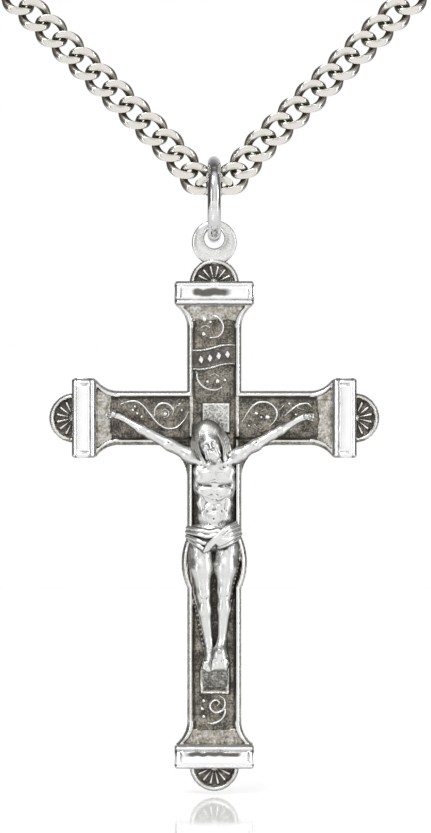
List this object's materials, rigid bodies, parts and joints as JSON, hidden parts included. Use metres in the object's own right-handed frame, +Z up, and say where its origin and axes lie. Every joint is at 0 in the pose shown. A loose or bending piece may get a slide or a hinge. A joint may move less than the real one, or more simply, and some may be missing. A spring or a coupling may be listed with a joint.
{
  "type": "crucifix pendant",
  "caption": "Silver crucifix pendant with flared collared ends, hung by a jump ring from the V of a curb chain with a spring-ring clasp.",
  "frame": {"origin": "centre of the crossing, on the flat back face of the cross", "axes": "+Z up the upright, the face of the cross looks along -Y, +Y out of the back face, +X to the right of someone facing the cross"},
  "size_m": [0.0489, 0.0079, 0.083],
  "materials": {
    "cross_silver": "oxidised cast silver, polished on the high parts",
    "dark_field": "oxidised silver with a stippled surface",
    "relief_silver": "raised silver, rubbed bright",
    "figure_silver": "satin polished silver with dark creases",
    "bright_collar": "bright-cut silver",
    "ring_silver": "polished drawn silver wire",
    "chain_silver": "polished curb links with ground flats"
  },
  "bodies": {
    "chain_ends": {"end_ring": "ring_silver", "clasp_eye": "ring_silver", "clasp_case": "ring_silver"},
    "chain": {"link_centre": "chain_silver", "link_left_1": "chain_silver", "link_left_2": "chain_silver", "link_left_3": "chain_silver", "link_left_4": "chain_silver", "link_left_5": "chain_silver", "link_left_6": "chain_silver", "link_left_7": "chain_silver", "link_left_8": "chain_silver", "link_left_9": "chain_silver", "link_left_10": "chain_silver", "link_left_11": "chain_silver", "link_left_12": "chain_silver", "link_left_13": "chain_silver", "link_right_1": "chain_silver", "link_right_2": "chain_silver", "link_right_3": "chain_silver", "link_right_4": "chain_silver", "link_right_5": "chain_silver", "link_right_6": "chain_silver", "link_right_7": "chain_silver", "link_right_8": "chain_silver", "link_right_9": "chain_silver", "link_right_10": "chain_silver", "link_right_11": "chain_silver", "link_right_12": "chain_silver", "link_right_13": "chain_silver"},
    "ring": {"jump_ring": "ring_silver"},
    "pendant": {"cross_body": "cross_silver", "hanging_eye": "cross_silver", "crossing_panel": "dark_field", "title_banner": "relief_silver", "foot_block": "dark_field", "collar_top": "bright_collar", "collar_bottom": "bright_collar", "collar_left": "bright_collar", "collar_right": "bright_collar", "rosette_top": "relief_silver", "rosette_bottom": "relief_silver", "rosette_left": "relief_silver", "rosette_right": "relief_silver", "scroll_top": "relief_silver", "scroll_foot": "relief_silver", "scroll_left": "relief_silver", "scroll_right": "relief_silver", "corpus": "figure_silver", "nail_left": "figure_silver", "nail_right": "figure_silver", "nail_feet": "figure_silver"},
    "slider": {"clasp_slider": "ring_silver"}
  },
  "joints": [
    {"name": "chain_swing", "type": "hinge", "parent": "chain_ends", "child": "chain", "pos_m": [0, -0.00108, 0.03987], "axis": [1, 0, 0], "range_deg": [-60, 20]},
    {"name": "ring_swing", "type": "hinge", "parent": "chain", "child": "ring", "pos_m": [0, -0.00075, 0.02193], "axis": [1, 0, 0], "range_deg": [-40, 12]},
    {"name": "pendant_tilt", "type": "hinge", "parent": "ring", "child": "pendant", "pos_m": [0, -0.00075, 0.01626], "axis": [0, 1, 0], "range_deg": [-30, 30]},
    {"name": "clasp_slide", "type": "hinge", "parent": "chain_ends", "child": "slider", "pos_m": [0.02347, -0.00085, 0.04523], "axis": [0, -1, 0], "range_deg": [0, 58], "stiffness_Nm_per_rad": 0.002, "springref_deg": -11.46}
  ]
}
